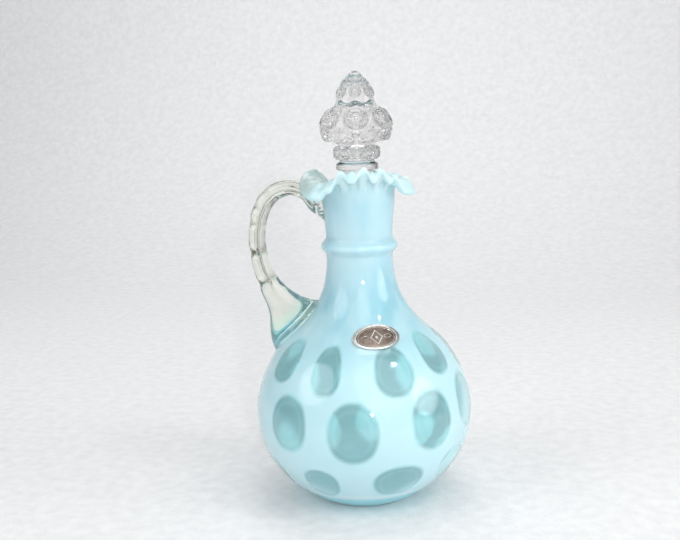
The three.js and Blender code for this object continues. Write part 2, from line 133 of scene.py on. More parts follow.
# Handle: rows of (out from the axis, height, thickness, width across) along its rod. The inset is taken
# off both ends of the thickness. The foot spreads near the bottle, and the sink is how deep it goes in.
HANDLE = [
    (COLLAR_RADIUS - 8, COLLAR_HEIGHT - 13, 8, 9),
    (COLLAR_RADIUS - 2.5, COLLAR_HEIGHT - 7.5, 9.6, 11.5),
    (COLLAR_RADIUS + 2, COLLAR_HEIGHT - 4.6, 9.4, 10.4),
    (COLLAR_RADIUS + 6.8, COLLAR_HEIGHT + 0.4, 8.2, 9),
    (COLLAR_RADIUS + 14, COLLAR_HEIGHT + 2.8, 8, 8.6),
    (COLLAR_RADIUS + 22.2, COLLAR_HEIGHT + 0.2, 8.4, 8.6),
    (COLLAR_RADIUS + 28.1, COLLAR_HEIGHT - 7.3, 8.5, 8.6),
    (SHOULDER_RADIUS + 12.9, SHOULDER_HEIGHT + 45.8, 8.2, 8.6),
    (SHOULDER_RADIUS + 11.8, SHOULDER_HEIGHT + 33.8, 8.7, 8.8),
    (SHOULDER_RADIUS + 7.9, SHOULDER_HEIGHT + 23.3, 10.5, 9.6),
    (SHOULDER_RADIUS + 1.9, SHOULDER_HEIGHT + 14.1, 16.6, 11.5),
    (SHOULDER_RADIUS - 5, SHOULDER_HEIGHT + 4.9, 33, 14),
    (SHOULDER_RADIUS - 13.6, SHOULDER_HEIGHT - 1.4, 40, 15),
]
HANDLE_STEPS = 480
HANDLE_SIDES = 96
HANDLE_INSET = 0.3
FOOT_SPREAD = 2.6
FOOT_REACH = 2.2
HANDLE_SINK = 0.15

# Crimps of the handle: (share of its length, strength). They dent its outer side and narrow it, and
# each carries a painted grey shade line across the rod.
CRIMPS = [(0.43, 0.45), (0.495, 0.6), (0.547, 0.75), (0.635, 1.25), (0.735, 1)]
CRIMP_DEPTH = 0.5
CRIMP_SPREAD = 0.013
CRIMP_NARROWING = 0.3
CRIMP_SIDE = 0.3
CRIMP_REACH = 0.42

# Grooves along the handle. A side is -1 at the inner edge of the rod and 1 at its outer edge, and the
# sway is how far a crimp pulls the groove towards one of them. The last value is how dark the painted
# grey shade line along the groove is. The painted shade line of a crimp begins at the first of the
# shaded sides and is full from the second one.
GROOVES = [
    {"side": -0.25, "sway": -0.08, "reach": 0.18, "depth": 0.22, "crease_shade": 0.9},
    {"side": 0.78, "sway": -0.3, "reach": 0.11, "depth": 0.18, "crease_shade": 0.5},
]
GROOVES_FROM = 0.14
GROOVES_FADE_IN = 0.06
GROOVES_TO = 0.8
GROOVES_FADE_OUT = 0.08
SHADE_SHARPNESS = 3
SHADED_SIDES = (-0.5, 0.2)

# Painted light at the foot of the handle, a mint highlight and a teal refraction of the bottle's
# blue, fades out over these heights, and over these distances from the bottle
MINT_HIGHLIGHT_HEIGHTS = (98, 106)
MINT_HIGHLIGHT_REACH = (6, 10)
TEAL_REFRACTION_HEIGHTS = (78, 82)
TEAL_REFRACTION_REACH = (3, 5)

# The shape of the bottle's outside that is cut from the handle
CUTTER_SIDES = 180
CUTTER_START_RADIUS = 1
CUTTER_FLOOR = 0.1
CUTTER_TOP = COLLAR_HEIGHT + 10

# Stopper, with heights from the top of the seat
SHANK_RADIUS = 8
SHANK_LENGTH = 15
FLANGE_RADIUS = 9.3
FLANGE_TOP = SHANK_LENGTH + 3.2
WAIST_RADIUS = 7.7
FILLET = 0.8
PLUG_END_RADIUS = 0.5
BAND_RADIUS = 14
BAND_HALF_HEIGHT = 9.2
BAND_HEIGHT = FLANGE_TOP + 15.8
BAND_FULLNESS = 0.8
BAND_TURNS = (-60, 50)
TIP_RADIUS = 8.3
TIP_HEIGHT = BAND_HEIGHT + 10.2
TIP_LENGTH = 13.1
TIP_STRAIGHT = 3.8
TIP_SHOULDER_RADIUS = 4.6
TIP_SHOULDER_DROP = 1.8

# Swell of the band, which follows its eyes, and the wave of the valley under the tip
BAND_LOBE = 0.5
BAND_LOBE_PLACE = 0.45
BAND_LOBE_BREADTH = 0.18
BAND_LOBE_TURN = 4
VALLEY_WAVE = 0.5
VALLEY_HEIGHT = (BAND_HEIGHT + BAND_HALF_HEIGHT + TIP_HEIGHT) / 2 - 0.5
VALLEY_SPREAD = 1.6

# Ornaments of the stopper: beads on a ring, eyes on the band, ovals under them and eyes on the tip
FIRST_EYE = 280
BEAD_COUNT = 12
BEAD_RING_RADIUS = 9.5
BEAD_HEIGHT = FLANGE_TOP + 4
BEAD_RADIUS = 2.35
BEAD_DOME = 0.77
BEAD_PROUD = 0.55
EYE_COUNT = 7
BAND_EYE_RADIUS = 5.2
BAND_EYE_PROUD = 1.1
BAND_EYE_DOME = 0.5
BAND_EYE_SUNK = 0.6
BAND_EYE_TILT = 28
BAND_EYE_RISE = 2.8
BAND_EYE_RIBS = 14
OVAL_HALF_WIDTH = 4.2
OVAL_HALF_HEIGHT = 3.2
OVAL_PROUD = 1
OVAL_TILT = -25
OVAL_DROP = 4
TIP_EYE_RADIUS = 2.6
TIP_EYE_PROUD = 0.65
TIP_EYE_DOME = 0.4
TIP_EYE_HEIGHT = TIP_HEIGHT + 4.1
TIP_EYE_TILT = 20
TIP_EYE_SUNK = 0.35
TIP_EYE_RIBS = 10
TOP_EYE_RADIUS = 1.9
TOP_EYE_PROUD = 0.4
TOP_EYE_DOME = 0.1
TOP_EYE_HEIGHT = TIP_HEIGHT + 8.2
TOP_EYE_TILT = 36
TOP_EYE_SUNK = 0.2

# Relief of an ornament. A place and a spread are shares of its radius, and a height is a share of how
# proud it stands. Inside the dug share the relief may also lie below the plain surface.
EYE_REACH = 1.25
EYE_SOFTNESS = 0.15
EYE_DUG = (0.8, 0.92)
EYE_RING = {"place": 0.88, "spread": 0.09}
EYE_DISH = {"place": 0.6, "spread": 0.13}
EYE_RIB = {"place": 0.5, "spread": 0.16}
EYE_HUB = {"place": 0, "spread": 0.2}
DISH_DEPTH = 0.6
RIB_HEIGHT = 0.35
HUB_HEIGHT = 0.6
OVAL_RING = {"place": 0.82, "spread": 0.1}
OVAL_DIP = {"place": 0.58, "spread": 0.12}
OVAL_DIP_DEPTH = 0.6
OVAL_RING_HEIGHT = 0.5
# The outline and the dish of each ornament carry a painted grey shade line, at these places and spreads,
# the dish's one this strong
OUTLINE_PLACE = 1.0
OUTLINE_SPREAD = 0.08
DISH_SHADE = 0.6

# Rows and columns of the stopper's mesh, which is fine above one height. The valley under the tip takes
# the place of the last rows of the band and the first rows of the tip.
STOPPER_SIDES = 336
BAND_STEPS = 55
TIP_STEPS = 60
STEM_ROUNDING = 0.7
VALLEY_ROUNDING = 2.5
VALLEY_STEPS = 12
BAND_ROWS_IN_VALLEY = 5
TIP_ROWS_IN_VALLEY = 10
STEM_PITCH = 0.9
FINIAL_PITCH = 0.28
FINE_FROM = SHANK_LENGTH - 1

# Foil label on the shoulder
LABEL_ANGLE = 292.4
LABEL_HEIGHT = 77.8
LABEL_LENGTH = 20.5
LABEL_WIDTH = 12.5
LABEL_TILT = math.radians(3)
FOIL_LIFT = 0.12
FOIL_THICKNESS = 0.35
FOIL_RELIEF = 0.09
FOIL_BORDER = (0.84, 0.87)
FOIL_LINE_PLACE = 0.78
FOIL_LINE_SPREAD = 0.012
LOZENGE = (2.6, 3.4)
LOZENGE_LINE = (0.06, 0.12)
HUB_EDGE = (0.5, 0.7)
LEAF_PLACE = 4.9
LEAF_SPREAD = 1.5
LEAF_RISE = 0.9
LEAF_FROM = 3
LEAF_TO = 6.8
LEAF_LINE = 0.12
LABEL_SIDES = 300
LABEL_FRONT_ROWS = 80
LABEL_BACK_ROWS = 12
LABEL_FIRST_SHARE = 0.02

# Colours of the bottle. Its bands are (share of the bottle's height, colour), and the top is in metres.
BLACK = (0, 0, 0)
WHITE = (1, 1, 1)
BOTTLE_TOP = 0.15
OPAL_LOW = (0.50, 0.71, 0.77)
OPAL_BELLY = (0.53, 0.75, 0.805)
OPAL_SHOULDER = (0.27, 0.545, 0.64)
OPAL_NECK = (0.41, 0.64, 0.73)
OPAL_RIM = (0.62, 0.79, 0.82)
OPAL_BANDS = [
    (0.02, OPAL_LOW), (0.25, OPAL_BELLY), (0.42, OPAL_BELLY), (0.58, OPAL_SHOULDER),
    (0.72, OPAL_NECK), (0.88, OPAL_NECK), (0.96, OPAL_RIM),
]
OPAL_CLOUD = (0.60, 0.82, 0.86)
OPAL_STREAK = (0.62, 0.80, 0.84)
OPAL_INSIDE = (0.56, 0.75, 0.78)
OPAL_EDGE = (0.66, 0.80, 0.84)
CLEAR_BLUE = (0.61, 0.95, 1.0)
BASE_BLUE = (0.33, 0.71, 0.79)
LOBE_TINT = (0.55, 0.69, 0.68)
CLOUD_SCALE = 45
CLOUD_SHARE = 0.35
STREAK_SCALE = 90
STREAK_STRETCH = (1, 1, 0.2)
STREAK_BANDS = [(0.42, BLACK), (0.62, WHITE)]
STREAK_HEIGHTS = [(0.40, BLACK), (0.52, (0.4, 0.4, 0.4))]
FOOT_LINE_HEIGHTS = [(0.052, BLACK), (0.060, WHITE), (0.066, WHITE), (0.078, BLACK)]
FOOT_HEIGHTS = [(0.046, WHITE), (0.055, BLACK)]

# Glass: how clear the opal skin and its dots are, how it scatters, and how smooth it is. The scale of a
# noise grows as its clouds get smaller, and the depth of waves is in metres.
GLASS_IOR = 1.5
OPAL_CLEARNESS = (0.04, 0.72)
LOBE_CLEARNESS = 0.35
OPAL_SCATTER = 0.9
SCATTER_RADIUS = (0.8, 1.0, 1.0)
SCATTER_SCALE = 0.004
OPAL_POLISH_SCALE = 120
OPAL_ROUGHNESS = (0.02, 0.07)
OPAL_WAVES = {"scale": 35, "depth": 0.0002}
CLEAR_TINT_SCALE = 60
CLEAR_POLISH_SCALE = 150
CLEAR_ROUGHNESS = (0.0, 0.03)
GROUND_ROUGHNESS = 0.4
CLEAR_WAVES = {"scale": 90, "depth": 0.00006}
STOPPER_COLOURS = ((0.96, 0.94, 0.935), (0.92, 0.90, 0.895))
# Painted grey shade along the outlines and dishes of the stopper's ornaments
STOPPER_SHADE = (0.60, 0.585, 0.58)
HANDLE_COLOURS = ((0.94, 0.95, 0.89), (0.88, 0.905, 0.82))
# Painted grey shade across the handle's crimps and along its grooves
HANDLE_SHADE = (0.30, 0.30, 0.24)
# Painted mint highlight and painted teal refraction of the bottle, at the foot of the handle
HANDLE_MINT_HIGHLIGHT = (0.80, 0.98, 0.86)
HANDLE_TEAL_REFRACTION = (0.56, 0.90, 0.95)

# Foil: mottled bronze, with silver on what is raised
BRONZE_BANDS = [(0.3, (0.17, 0.13, 0.105)), (0.7, (0.26, 0.21, 0.175))]
BRONZE_SCALE = 700
SILVER_BANDS = [(0.3, (0.55, 0.55, 0.52)), (0.7, (0.78, 0.78, 0.76))]
SILVER_SCALE = 900
FOIL_POLISH_SCALE = 500
FOIL_ROUGHNESS = (0.2, 0.42)
FOIL_WAVES = {"scale": 900, "depth": 0.00002}

# Studio: the floor's profile is (back from the axis, height), and it lies just under the base
FLOOR_FLAT = [(-1500, 0), (-700, 0), (-200, 0), (0, 0), (200, 0)]
FLOOR_RISE = [(450, 0), (760, 0), (900, 140), (900, 420)]
FLOOR_RISE_STEPS = 24
BACKDROP_TOP = (900, 850)
FLOOR_DROP = 0.1
FLOOR_HALF_WIDTH = 1400
FLOOR_COLUMNS = 15
FELT_BANDS = [(0.3, (0.80, 0.80, 0.81)), (0.7, (0.88, 0.88, 0.88))]
FELT_SCALE = 160
FELT_DETAIL = 6
FELT_ROUGHNESS = 0.9
FELT_GLOSS = 0.1
FELT_WAVES = {"scale": 900, "depth": 0.0003}
WORLD_COLOUR = (0.9, 0.93, 0.95)
WORLD_STRENGTH = 0.27

# Lamps: (name, place, target, size, power, beam in degrees), in metres and watts
LAMPS = [
    ("key", (0.55, -0.75, 0.85), (0, 0, 0.08), 1.3, 5.9, 180),
    ("fill", (-0.8, -0.6, 0.7), (0, 0, 0.08), 0.8, 3.8, 180),
    ("side", (0.85, -0.15, 0.3), (0, 0, 0.06), 0.5, 0.6, 90),
    ("back", (-0.2, 0.6, 0.9), (0, 0, 0.05), 0.6, 1.6, 180),
    ("wall", (0.1, 0.1, 1.1), (-0.05, 0.85, 0.15), 0.6, 2.8, 180),
    ("flash", (0.37, -1.14, 0.33), (0, 0, 0.09), 0.05, 0.5, 60),
    ("window", (0.54, -0.26, 0.84), (0, 0, 0.08), 0.09, 0.4, 180),
]

# Camera of the photograph: its place in metres, its turns in degrees, its lens in millimetres
CAMERA_AT = (0.0762, -0.4323, 0.1756)
CAMERA_TURN = 10
CAMERA_PITCH = 9.46
CAMERA_ROLL = 1.7
CAMERA_SENSOR = 36
CAMERA_LENS = 52.8
CAMERA_SHIFT = -0.0296


# Curves and outlines
def smoothstep(low, high, value):
    t = np.clip((value - low) / (high - low), 0, 1)
    return t * t * (3 - 2 * t)


def hill(value, place, spread):
    """A soft hill, 1 high at its place."""
    return np.exp(-((value - place) / spread) ** 2)


def cubic(controls, t):
    a, b, c, d = controls
    return (1 - t) ** 3 * a + 3 * (1 - t) ** 2 * t * b + 3 * (1 - t) * t ** 2 * c + t ** 3 * d


def bend(start, pull_out, pull_in, end, steps):
    """Points of a cubic curve in the (radius, height) plane."""
    controls = [np.array(p, float) for p in (start, pull_out, pull_in, end)]
    return cubic(controls, np.linspace(0, 1, steps + 1)[:, None])


def outline_normals(outline):
    """Unit normals of an outline, to its right as it runs."""
    along = np.gradient(outline, axis=0)
    along /= np.linalg.norm(along, axis=1)[:, None]
    return np.stack([along[:, 1], -along[:, 0]], axis=1)


def distance_from(outline, radii, heights):
    """How far places (radius, height) lie from the nearest point of an outline."""
    return np.hypot(radii[:, None] - outline[:, 0], heights[:, None] - outline[:, 1]).min(axis=1)


def bulb_outline():
    """Outline of the outside, from the edge of the base to the start of the neck ring."""
    slope = np.array([math.cos(SHOULDER_SLOPE), -math.sin(SHOULDER_SLOPE)])
    shoulder = np.array([SHOULDER_RADIUS, SHOULDER_HEIGHT])
    belly = (BELLY_RADIUS, BELLY_HEIGHT)
    lower = bend(
        (BASE_RADIUS, 0),
        (BASE_RADIUS + BASE_TURN[0], BASE_TURN[1]),
        (BELLY_RADIUS, BELLY_HEIGHT - BELLY_ROUND_BELOW),
        belly,
        BELOW_BELLY_STEPS,
    )
    upper = bend(
        belly,
        (BELLY_RADIUS, BELLY_HEIGHT + BELLY_ROUND_ABOVE),
        shoulder + SHOULDER_ROUND_BELOW * slope,
        shoulder,
        ABOVE_BELLY_STEPS,
    )
    hollow = bend(
        shoulder,
        shoulder - SHOULDER_ROUND_ABOVE * slope,
        (NECK_RADIUS, NECK_HEIGHT - NECK_STRAIGHT),
        (NECK_RADIUS, NECK_HEIGHT),
        HOLLOW_STEPS,
    )
    return np.concatenate([lower, upper[1:], hollow[1:]])


def neck_outline():
    """Outline of the neck ring, a smooth swelling, and of the throat above it."""
    along = np.linspace(-1, 1, NECK_RING_STEPS + 1)[1:, None]
    swelling = NECK_RING_PROUD * (1 + np.cos(np.pi * along)) / 2
    middle = NECK_HEIGHT + NECK_RING_HALF_HEIGHT
    ring = np.concatenate([NECK_RADIUS + swelling, middle + along * NECK_RING_HALF_HEIGHT], axis=1)
    start = middle + NECK_RING_HALF_HEIGHT
    throat = bend(
        (NECK_RADIUS, start),
        (NECK_RADIUS, start + THROAT_RISE / 3),
        (COLLAR_RADIUS, COLLAR_HEIGHT - THROAT_RISE / 3),
        (COLLAR_RADIUS, COLLAR_HEIGHT),
        THROAT_STEPS,
    )
    return np.concatenate([ring, throat[1:]])


def ruffle_at(turns):
    """The edge's radius, height and roll at angles in degrees, level at its tops and bottoms."""
    rows = np.array(RUFFLE_EDGE, float)
    angles, values = rows[:, 0], rows[:, 1:]
    gaps = ((np.roll(angles, -1) - angles) % 360)[:, None]
    ahead = (np.roll(values, -1, axis=0) - values) / gaps
    behind = np.roll(ahead, 1, axis=0)
    onward = ahead * behind > 0
    slopes = np.where(onward, 2 * ahead * behind / np.where(onward, ahead + behind, 1), 0)
    after = np.searchsorted(angles, turns, side="right") % len(rows)
    before = after - 1
    gap = gaps[before]
    t = ((turns - angles[before]) % 360)[:, None] / gap
    rise = values[after] - values[before]
    start, end = slopes[before] * gap, slopes[after] * gap
    level = (start == 0) & (end == 0)
    t = t + np.where(level, RUFFLE_HOLD, 0) * (t * t * (3 - 2 * t) - t)
    out, up, roll = (values[before] + start * t + (3 * rise - 2 * start - end) * t ** 2
                     + (start + end - 2 * rise) * t ** 3).T
    return COLLAR_RADIUS + out, COLLAR_HEIGHT + up, roll


def rim_rows(sides):
    """Rows of (radius, height) over the rim: up the outside, round the lip and down the inside."""
    turns = np.arange(sides) * 360 / sides
    radius, height, roll = ruffle_at(turns)

    def rolled(key):
        return STANDING_RIM[key] + (ROLLED_RIM[key] - STANDING_RIM[key]) * roll

    lean = np.radians(rolled("lean"))
    along = np.stack([np.cos(lean), np.sin(lean)])
    across = np.stack([along[1], -along[0]])
    edge = np.stack([radius, height])
    half = RIM_THICKNESS / 2
    outer = edge + across * half
    inner = edge - across * half
    start = COLLAR_HEIGHT + rolled("rise")
    mouth = np.array([SEAT_RADIUS + MOUTH_CHAMFER, SEAT_TOP + MOUTH_CHAMFER])[:, None]
    same = np.ones(sides)
    outside = (
        np.stack([COLLAR_RADIUS * same, COLLAR_HEIGHT * same]),
        np.stack([COLLAR_RADIUS * same, start]),
        outer - along * rolled("outer_pull"),
        outer,
    )
    inside = (
        inner,
        inner - along * rolled("inner_pull"),
        np.stack([(SEAT_RADIUS + MOUTH_CHAMFER + MOUTH_FLARE) * same, start]),
        mouth * same,
    )
    rows = [cubic(outside, t) for t in np.linspace(0, 1, RIM_OUTSIDE_STEPS + 1)[1:]]
    for angle in np.linspace(-np.pi / 2, np.pi / 2, RIM_EDGE_STEPS + 1)[1:-1]:
        rows.append(edge + half * (along * np.cos(angle) - across * np.sin(angle)))
    crease = hill(turns[:, None], LOBE_CREASES, LOBE_CREASE_SPREAD).max(axis=1)
    for t in np.linspace(0, 1, RIM_INSIDE_STEPS + 1):
        sunk = LOBE_CREASE_DEPTH * math.sin(math.pi * t) * crease
        rows.append(cubic(inside, t) - np.stack([0 * sunk, sunk]))
    return [row.T for row in rows]


# Meshes
def turned(rows, sides):
    """Points of rows round the axis. A row is one (radius, height) or one of them for each side."""
    angles = np.arange(sides) * 2 * np.pi / sides
    rings = []
    for row in rows:
        row = np.broadcast_to(np.asarray(row, float), (sides, 2))
        rings.append(np.stack([row[:, 0] * np.cos(angles), row[:, 0] * np.sin(angles), row[:, 1]], 1))
    return np.array(rings)


def grid_faces(rows, columns):
    """Quads between neighbouring rows of points, closed round each row."""
    low = np.arange(rows - 1)[:, None] * columns
    here = np.arange(columns)[None, :]
    after = (here + 1) % columns
    quads = np.stack([low + here, low + after, low + columns + after, low + columns + here], axis=2)
    return quads.reshape(-1, 4).tolist()


def skin(name, rings, first, last):
    """A closed piece over rings of points, from a single first point to a single last one."""
    count, columns = rings.shape[:2]
    points = np.concatenate([rings.reshape(-1, 3), [first, last]]) * MM
    start, end = count * columns, count * columns + 1
    faces = grid_faces(count, columns)
    top = (count - 1) * columns
    for i in range(columns):
        j = (i + 1) % columns
        faces.append([start, j, i])
        faces.append([end, top + i, top + j])
    mesh = bpy.data.meshes.new(name)
    mesh.from_pydata(points.tolist(), [], faces)
    mesh.validate()
    return finished(name, mesh)


def finished(name, mesh):
    """An object of a mesh with smooth faces, all turned outwards, and creases at its sharp edges."""
    shape = bmesh.new()
    shape.from_mesh(mesh)
    bmesh.ops.recalc_face_normals(shape, faces=shape.faces)
    for face in shape.faces:
        face.smooth = True
    for edge in shape.edges:
        edge.smooth = len(edge.link_faces) != 2 or edge.calc_face_angle(0) < SHARP_EDGE
    shape.to_mesh(mesh)
    shape.free()
    piece = bpy.data.objects.new(name, mesh)
    bpy.context.scene.collection.objects.link(piece)
    return piece


def points_of(piece):
    """The points of a piece in millimetres."""
    return np.array([v.co for v in piece.data.vertices]) / MM


def add_attribute(piece, name, values):
    layer = piece.data.attributes.new(name, "FLOAT", "POINT")
    layer.data.foreach_set("value", np.asarray(values, np.float32))


# Bottle
def turns_of(points):
    """The angles of points round the axis, from 0 to 360 degrees."""
    return np.degrees(np.arctan2(points[:, 1], points[:, 0])) % 360


def dot_mask(points):
    """How much each point of the bulb lies in a clear dot, from 0 to 1, with soft edges."""
    turns = turns_of(points)
    mask = np.zeros(len(points))
    for angle, height, wide, tall in DOTS:
        across = ((turns - angle + 180) % 360 - 180) / (wide / 2)
        up = (points[:, 2] - height) / (tall / 2)
        powers = np.abs(across) ** DOT_SQUARENESS + np.abs(up) ** DOT_SQUARENESS
        distance = powers ** (1 / DOT_SQUARENESS)
        ring = DOT_RING * hill(distance, DOT_RING_PLACE, DOT_RING_SPREAD)
        clear = 1 - smoothstep(1 - DOT_SOFTNESS, 1 + DOT_SOFTNESS, distance) - ring
        mask = np.maximum(mask, clear)
    return mask


def lobe_mask(points):
    """How much each point lies in the thin glass of the rim's wide lobe, from 0 to 1."""
    turns = turns_of(points)
    within = smoothstep(*LOBE_BEGINS, turns) * (1 - smoothstep(*LOBE_ENDS, turns))
    return within * smoothstep(*LOBE_HEIGHTS, points[:, 2])


def make_bottle():
    bulb = bulb_outline()
    outside = np.concatenate([bulb, neck_outline()])
    seat_bottom = SEAT_TOP - SEAT_LENGTH
    seat = np.array([
        (SEAT_RADIUS, SEAT_TOP),
        (SEAT_RADIUS - SEAT_TAPER * SEAT_LENGTH / 2, SEAT_TOP - SEAT_LENGTH / 2),
        (SEAT_RADIUS - SEAT_TAPER * SEAT_LENGTH, seat_bottom),
        (NECK_RADIUS - BOTTLE_WALL, seat_bottom - BOTTLE_WALL),
    ])
    inside = (bulb - BOTTLE_WALL * outline_normals(bulb))[::-1]
    kept = (inside[:, 1] > FLOOR_THICKNESS) & (inside[:, 1] < NECK_HEIGHT - BOTTLE_WALL)
    inside = inside[kept][::INSIDE_ROW_STEP]
    floor = np.array([(inside[-1][0] - BOTTLE_WALL, FLOOR_THICKNESS)])
    base = np.array([(BASE_RADIUS / 2, 0), (BASE_RADIUS - BASE_EDGE, 0)])
    rows = [*base, *outside, *rim_rows(BOTTLE_SIDES), *seat, *inside, *floor]
    rings = turned(rows, BOTTLE_SIDES)
    piece = skin("bottle", rings, (0, 0, 0), (0, 0, FLOOR_THICKNESS))
    points = points_of(piece)
    add_attribute(piece, "dot", dot_mask(points))
    add_attribute(piece, "lobe", lobe_mask(points))
    outside_rows = len(base) + len(outside) + RIM_OUTSIDE_ROWS
    inner = np.arange(len(points)) >= outside_rows * BOTTLE_SIDES
    inner[-2:] = (False, True)
    add_attribute(piece, "inside", inner)
    return piece


# Handle
def handle_sections():
    """Centres and sizes along the handle, on a smooth curve through its rows."""
    rows = np.array(HANDLE, float)
    padded = np.concatenate([[2 * rows[0] - rows[1]], rows, [2 * rows[-1] - rows[-2]]])
    places = np.linspace(0, len(rows) - 1, HANDLE_STEPS + 1)
    index = np.minimum(places.astype(int), len(rows) - 2)
    t = (places - index)[:, None]
    a, b, c, d = (padded[index + step] for step in range(4))
    slope_b = (c - a) / 2
    slope_c = (d - b) / 2
    return b + slope_b * t + (3 * (c - b) - 2 * slope_b - slope_c) * t ** 2 + (
        slope_b + slope_c - 2 * (c - b)) * t ** 3


def cut_to_bottle(rod):
    """Takes away what lies inside the bottle's outside, less the little that the glass sinks in."""
    outside = np.concatenate([bulb_outline(), neck_outline()])
    outside = outside - HANDLE_SINK * outline_normals(outside)
    rim = rim_rows(CUTTER_SIDES)[:RIM_OUTSIDE_ROWS]
    rings = turned([(CUTTER_START_RADIUS, CUTTER_FLOOR), *outside, *rim], CUTTER_SIDES)
    cutter = skin("cutter", rings, (0, 0, CUTTER_FLOOR), (0, 0, CUTTER_TOP))
    cut = rod.modifiers.new("cut", "BOOLEAN")
    cut.object = cutter
    cut.operation = "DIFFERENCE"
    cut.solver = "EXACT"
    result = rod.evaluated_get(bpy.context.evaluated_depsgraph_get())
    rod.data = bpy.data.meshes.new_from_object(result)
    rod.modifiers.clear()
    bpy.data.objects.remove(cutter)


def make_handle():
    sections = handle_sections()
    centres = sections[:, :2] * (-1, 1)
    along = np.gradient(centres, axis=0)
    along /= np.linalg.norm(along, axis=1)[:, None]
    outward = np.stack([along[:, 1], -along[:, 0]], axis=1)
    share = np.linspace(0, 1, HANDLE_STEPS + 1)
    pinch = np.zeros(HANDLE_STEPS + 1)
    for place, strength in CRIMPS:
        pinch = np.maximum(pinch, strength * hill(share, place, CRIMP_SPREAD))
    # Painted grey shade across each crimp, on the sides given above, and along the grooves below
    crease_shade = np.minimum(1, pinch) ** SHADE_SHARPNESS
    grooved = smoothstep(GROOVES_FROM, GROOVES_FROM + GROOVES_FADE_IN, share)
    grooved *= 1 - smoothstep(GROOVES_TO - GROOVES_FADE_OUT, GROOVES_TO, share)
    bottle = np.concatenate([bulb_outline(), neck_outline()])
    angle = np.arange(HANDLE_SIDES) * 2 * np.pi / HANDLE_SIDES
    level = np.cos(angle)
    outer_side = (1 + level) / 2
    rings = []
    crease_shades = []
    for row in range(HANDLE_STEPS + 1):
        crease_shades.append(crease_shade[row] * smoothstep(*SHADED_SIDES, level))
        out = (sections[row, 2] / 2 - HANDLE_INSET) * level - CRIMP_DEPTH * pinch[row] * outer_side ** 2
        side = sections[row, 3] / 2 * np.sin(angle)
        side *= 1 - CRIMP_NARROWING * pinch[row] * hill(level, CRIMP_SIDE, CRIMP_REACH)
        for groove in GROOVES:
            middle = groove["side"] + groove["sway"] * pinch[row]
            dip = hill(level, middle, groove["reach"])
            side *= 1 - groove["depth"] * grooved[row] * dip
            line = groove["crease_shade"] * grooved[row] * dip ** SHADE_SHARPNESS
            crease_shades[-1] = np.maximum(crease_shades[-1], line)
        x = centres[row, 0] + outward[row, 0] * out
        z = centres[row, 1] + outward[row, 1] * out
        away = distance_from(bottle, np.abs(x), z)
        side += FOOT_SPREAD * np.exp(-away / FOOT_REACH) * np.sin(angle)
        rings.append(np.stack([x, side, z], axis=1))
    first = (centres[0, 0], 0, centres[0, 1])
    last = (centres[-1, 0], 0, centres[-1, 1])
    rod = skin("handle", np.array(rings), first, last)
    add_attribute(rod, "shade_lines", np.concatenate([*crease_shades, [0, 0]]))
    cut_to_bottle(rod)
    points = points_of(rod)
    away = distance_from(bottle, np.hypot(points[:, 0], points[:, 1]), points[:, 2])
    # Painted mint highlight and painted teal refraction of the bottle's blue, near the foot
    for painted_tone, heights, reach in (("mint_highlight", MINT_HIGHLIGHT_HEIGHTS, MINT_HIGHLIGHT_REACH), ("teal_refraction", TEAL_REFRACTION_HEIGHTS, TEAL_REFRACTION_REACH)):
        low = 1 - smoothstep(*heights, points[:, 2])
        add_attribute(rod, painted_tone, low * (1 - smoothstep(*reach, away)))
    return rod


# Stopper
def rounded(outline, radius, steps=4):
    """An outline with its corners rounded off, up to a third of the way along its sides."""
    outline = [np.array(p, float) for p in outline]
    points = [outline[0]]
    for before, corner, after in zip(outline, outline[1:], outline[2:]):
        back = before - corner
        on = after - corner
        start = corner + back * min(1 / 3, radius / np.linalg.norm(back))
        end = corner + on * min(1 / 3, radius / np.linalg.norm(on))
        for t in np.linspace(0, 1, steps + 1):
            points.append((1 - t) ** 2 * start + 2 * (1 - t) * t * corner + t ** 2 * end)
    points.append(outline[-1])
    return np.array(points)


def evenly(outline, pitch):
    """The same outline with points at even distances, about the pitch apart."""
    steps = np.linalg.norm(np.diff(outline, axis=0), axis=1)
    along = np.concatenate([[0], np.cumsum(steps)])
    places = np.linspace(0, along[-1], max(2, int(along[-1] / pitch)))
    return np.stack([np.interp(places, along, outline[:, i]) for i in (0, 1)], axis=1)


def soft_max(a, b, width):
    return (a + b + np.sqrt((a - b) ** 2 + width ** 2)) / 2


def raise_eyes(points, shade_lines, relief, count, first_turn, radius, height, tilt, half_width, half_height):
    """Lifts a ring of ornaments off a surface: relief gives an ornament's height at a share of its
    radius and an angle round it. Their outlines and dishes get a painted grey shade, from 0 to 1."""
    lean = math.radians(tilt)
    for copy in range(count):
        angle = math.radians(first_turn + 360 * copy / count)
        x, y = math.cos(angle), math.sin(angle)
        out = np.array([x * math.cos(lean), y * math.cos(lean), math.sin(lean)])
        side = np.array([-y, x, 0])
        up = np.cross(out, side)
        centre = np.array([radius * x, radius * y, height])
        offset = points - centre
        u = offset @ side / half_width
        v = offset @ up / half_height
        w = offset @ out
        share = np.hypot(u, v)
        near = (share < EYE_REACH) & (w > -half_height)
        target = relief(share[near], np.arctan2(v[near], u[near]))
        lifted = soft_max(w[near], target, EYE_SOFTNESS)
        dug = 1 - smoothstep(*EYE_DUG, share[near])
        points[near] += (lifted + (target - lifted) * dug - w[near])[:, None] * out
        # Painted shade: a grey line along each outline and in each dish, where the relief darkens the
        # glass
        outline = hill(share[near], OUTLINE_PLACE, OUTLINE_SPREAD)
        dish = DISH_SHADE * hill(share[near], EYE_DISH["place"], OUTLINE_SPREAD)
        shade_lines[near] = np.maximum.reduce([shade_lines[near], outline, dish])


